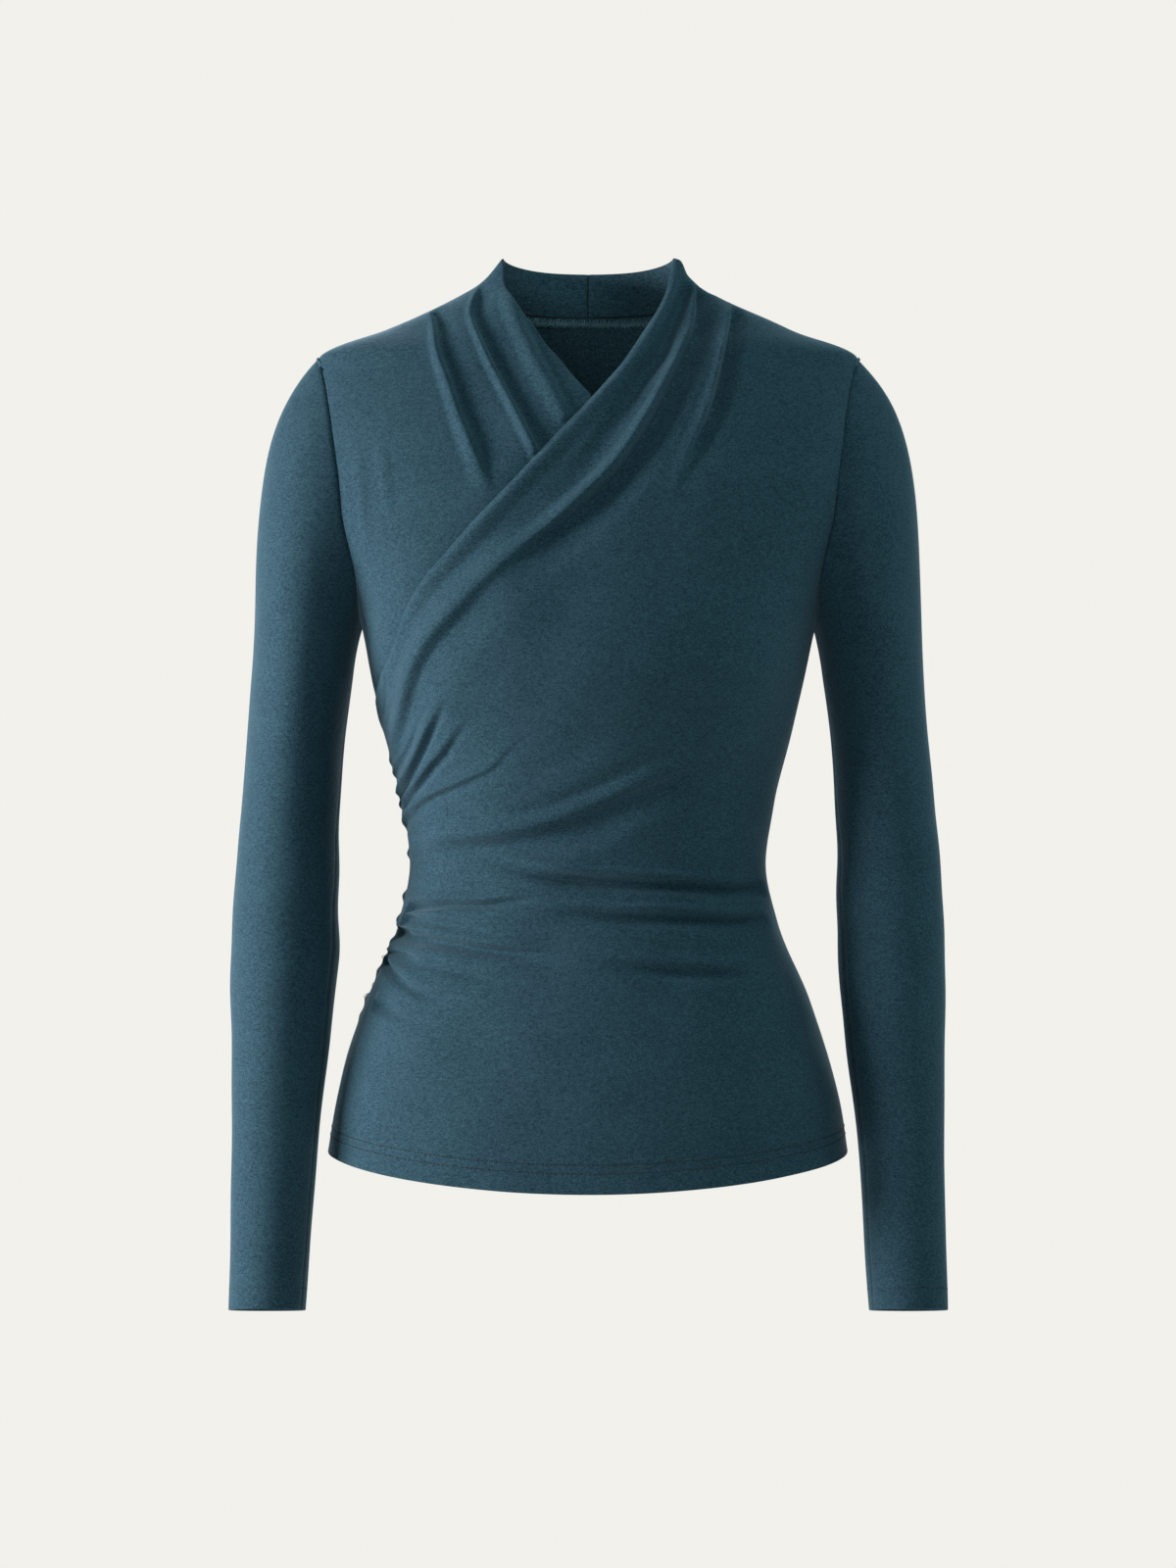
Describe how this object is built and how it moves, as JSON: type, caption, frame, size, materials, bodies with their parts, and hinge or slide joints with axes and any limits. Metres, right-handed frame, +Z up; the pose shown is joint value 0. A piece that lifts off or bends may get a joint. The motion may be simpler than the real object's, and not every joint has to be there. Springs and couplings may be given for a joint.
{
  "type": "wrap top",
  "caption": "Long-sleeved wrap top with a grown-on stand collar, pleated at the shoulders and gathered into one side seam, filled out as if worn.",
  "frame": {"origin": "midway between the two points where the shoulder seams meet the collar, where the wearer's neck and shoulders hold the top up", "axes": "+X towards the wearer's left, +Y towards the wearer's back, +Z up"},
  "size_m": [0.4718, 0.232, 0.6951],
  "materials": {
    "jersey": "brushed heather jersey, soft and matt"
  },
  "bodies": {
    "root": {"back": "jersey", "front_left": "jersey", "front_right": "jersey", "sleeve_left": "jersey", "sleeve_right": "jersey"}
  },
  "joints": []
}
